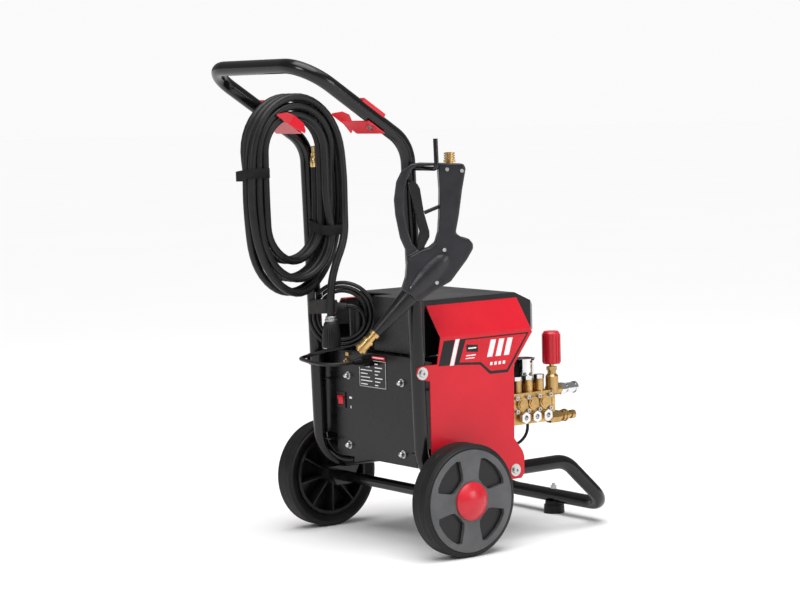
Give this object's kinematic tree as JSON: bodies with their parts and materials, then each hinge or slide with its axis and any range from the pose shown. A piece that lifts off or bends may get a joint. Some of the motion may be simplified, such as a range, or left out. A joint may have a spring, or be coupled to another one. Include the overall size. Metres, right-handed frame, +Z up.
{
  "type": "pressure washer",
  "caption": "Electric cold-water pressure washer: motor and plunger pump on a two-wheel tube trolley with red side panels, spray gun and coiled hose.",
  "frame": {"origin": "on the floor, at the middle of the trolley's length and width", "axes": "+Z up, +Y along the trolley towards the pump and the front foot, X across it along the axle"},
  "size_m": [0.62, 0.861, 1.091],
  "materials": {
    "black_tube": "gloss",
    "black_sheet": "satin",
    "red_sheet": "gloss",
    "red_plastic": "gloss",
    "black_plastic": "satin",
    "gloss_black_plastic": "gloss",
    "grey_plastic": "satin",
    "gun_plastic": "satin",
    "rubber": "matte",
    "tyre": "matte",
    "zinc_steel": "satin",
    "chrome": "polished",
    "brass": "satin",
    "cast_dark": "satin",
    "aluminium": "satin",
    "label_film": "satin"
  },
  "bodies": {
    "trolley": {"handle_frame": "black_tube", "base_frame": "black_tube", "axle": "black_tube", "foot_rubber": "rubber", "foot_bolt": "zinc_steel", "side_panel_left": "red_sheet", "side_panel_right": "red_sheet", "frame_bolts": "zinc_steel", "labels": "label_film", "top_cover": "gloss_black_plastic", "control_panel": "black_sheet", "panel_studs": "zinc_steel", "rocker_bezel": "black_plastic", "cable_gland": "black_plastic", "earth_studs": "brass", "motor_housing": "cast_dark", "motor_end_bells": "cast_dark", "fan_cover": "black_sheet", "capacitors": "black_plastic", "pump_crankcase": "cast_dark", "pump_manifold": "brass", "plunger_caps": "brass", "valve_caps": "chrome", "head_bolts": "zinc_steel", "unloader_body": "brass", "outlet_fitting": "chrome", "inlet_fitting": "brass", "gauge_case": "aluminium", "sensor_lead": "rubber", "hose_hooks": "red_sheet", "gun_hook": "black_tube", "hose_coil": "rubber", "hose_tail": "rubber", "hose_straps": "black_plastic", "hose_boot": "rubber", "lead_coil": "rubber", "lead_run": "rubber", "lead_plug": "rubber"},
    "left_wheel": {"left_tyre": "tyre", "left_rim": "black_plastic", "left_hubcap": "grey_plastic", "left_cap": "red_plastic"},
    "right_wheel": {"right_tyre": "tyre", "right_rim": "black_plastic", "right_hubcap": "grey_plastic", "right_cap": "red_plastic"},
    "rotor": {"motor_rotor": "zinc_steel"},
    "switch": {"rocker": "red_plastic"},
    "knob": {"unloader_knob": "red_plastic"},
    "inlet_sleeve": {"inlet_collar": "brass"},
    "needle": {"gauge_needle": "red_plastic"},
    "gun": {"gun_shell_outer": "gun_plastic", "gun_shell_inner": "gun_plastic", "gun_screws": "zinc_steel", "gun_inlet": "brass", "gun_lance": "gloss_black_plastic", "gun_coupler": "brass"},
    "trigger": {"gun_trigger": "black_plastic"},
    "push_rod": {"gun_push_rod": "black_plastic"},
    "gun_sleeve": {"gun_collar": "brass"}
  },
  "joints": [
    {"name": "left_wheel_spin", "type": "hinge", "parent": "trolley", "child": "left_wheel", "pos_m": [0, -0.07, 0.125], "axis": [1, 0, 0], "continuous": true},
    {"name": "right_wheel_spin", "type": "hinge", "parent": "trolley", "child": "right_wheel", "pos_m": [0, -0.07, 0.125], "axis": [1, 0, 0], "continuous": true},
    {"name": "motor_shaft_spin", "type": "hinge", "parent": "trolley", "child": "rotor", "pos_m": [0, 0, 0.3], "axis": [0, 1, 0], "continuous": true},
    {"name": "switch_rock", "type": "hinge", "parent": "trolley", "child": "switch", "pos_m": [-0.13, -0.109, 0.314], "axis": [-1, 0, 0], "range_deg": [0, 16]},
    {"name": "pressure_knob_turn", "type": "hinge", "parent": "trolley", "child": "knob", "pos_m": [0.135, 0.296, 0.42], "axis": [0, 0, 1], "range_deg": [-170, 170]},
    {"name": "inlet_sleeve_pull", "type": "slide", "parent": "trolley", "child": "inlet_sleeve", "axis": [0, -1, 0], "range_m": [0, 0.006], "stiffness_N_per_m": 400, "springref_m": -0.001},
    {"name": "gauge_needle_turn", "type": "hinge", "parent": "trolley", "child": "needle", "pos_m": [0.088, 0.25, 0.385], "axis": [0, 0, -1], "range_deg": [0, 270]},
    {"name": "gun_lift_off", "type": "slide", "parent": "trolley", "child": "gun", "axis": [-0.2449, -0.4242, 0.8718], "range_m": [0, 0.025]},
    {"name": "trigger_squeeze", "type": "hinge", "parent": "gun", "child": "trigger", "pos_m": [0.238, -0.15512, 0.6693], "axis": [-0.866, 0.5, 0], "range_deg": [0, 10], "stiffness_Nm_per_rad": 2, "springref_deg": -5.73},
    {"name": "push_rod_slide", "type": "slide", "parent": "gun", "child": "push_rod", "axis": [0.4668, 0.8085, 0.3584], "range_m": [0, 0.017]},
    {"name": "gun_sleeve_pull", "type": "slide", "parent": "gun", "child": "gun_sleeve", "axis": [0.348, 0.6027, 0.7181], "range_m": [0, 0.008], "stiffness_N_per_m": 400, "springref_m": -0.001}
  ],
  "couplings": [
    {"joint": "push_rod_slide", "follows": "trigger_squeeze", "m_per_rad": 0.095}
  ]
}
